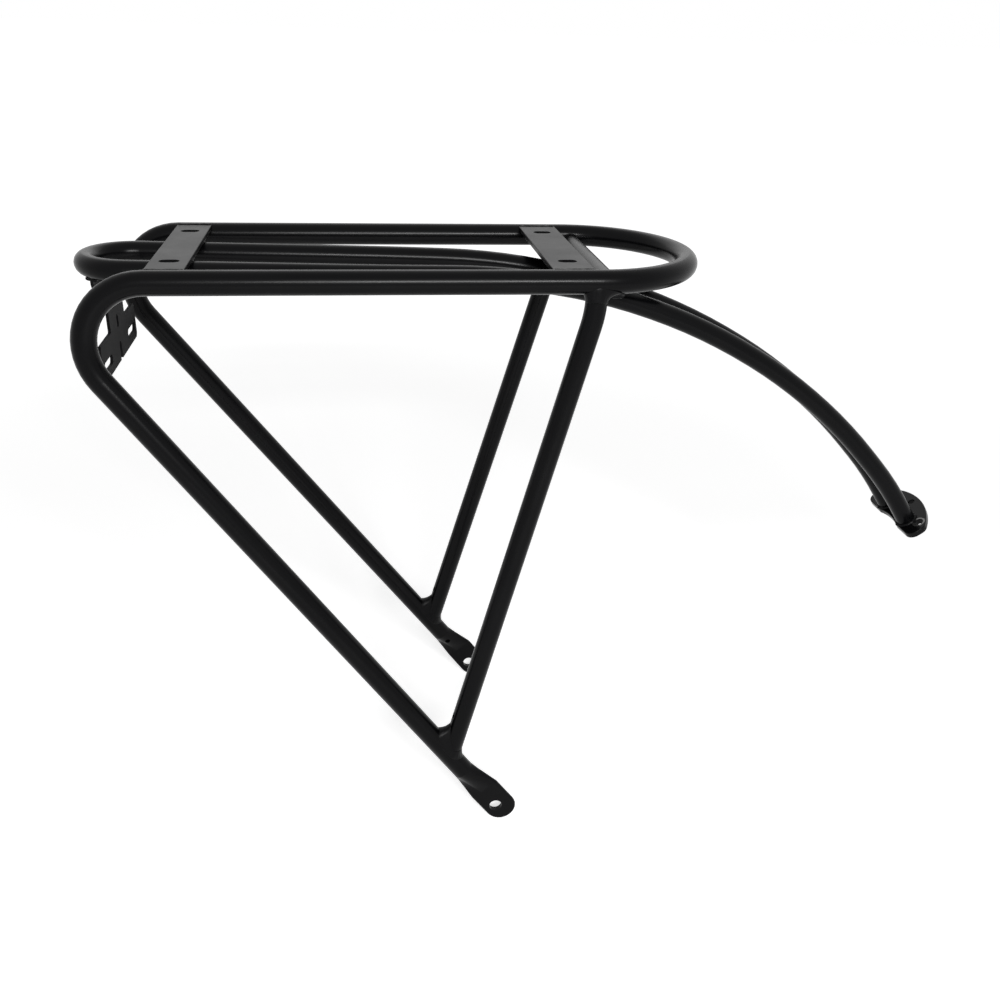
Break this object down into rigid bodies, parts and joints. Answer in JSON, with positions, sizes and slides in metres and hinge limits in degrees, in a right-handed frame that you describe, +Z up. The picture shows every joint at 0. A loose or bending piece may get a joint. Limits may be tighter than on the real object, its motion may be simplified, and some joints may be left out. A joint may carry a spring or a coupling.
{
  "type": "bicycle rear carrier",
  "caption": "Welded tubular rear carrier for a bicycle: bent side hoop with drilled feet, inner hairpin running into curved front stays, slotted deck plates, mount plate and lamp bracket.",
  "frame": {"origin": "midway between the two dropout eyelets, on their bolt axis", "axes": "+X towards the front of the bicycle, +Y to its left, +Z up"},
  "size_m": [0.5334, 0.1744, 0.3556],
  "materials": {
    "tube_coating": "satin black powder coat",
    "plate_coating": "satin black powder coat",
    "weld_coating": "satin black powder coat over weld beads"
  },
  "bodies": {
    "root": {"main_hoop": "tube_coating", "centre_hairpin": "tube_coating", "left_strut": "tube_coating", "right_strut": "tube_coating", "cross_tube": "tube_coating", "rear_deck_plate": "plate_coating", "front_deck_plate": "plate_coating", "light_bracket": "plate_coating", "front_mount_plate": "plate_coating", "left_strut_top_weld": "weld_coating", "left_strut_foot_weld": "weld_coating", "left_cross_tube_weld": "weld_coating", "left_crossing_weld": "weld_coating", "left_rear_plate_weld": "weld_coating", "left_front_plate_weld": "weld_coating", "left_hairpin_seat_weld": "weld_coating", "left_stay_weld": "weld_coating", "right_strut_top_weld": "weld_coating", "right_strut_foot_weld": "weld_coating", "right_cross_tube_weld": "weld_coating", "right_crossing_weld": "weld_coating", "right_rear_plate_weld": "weld_coating", "right_front_plate_weld": "weld_coating", "right_hairpin_seat_weld": "weld_coating", "right_stay_weld": "weld_coating", "light_bracket_weld": "weld_coating"}
  },
  "joints": []
}
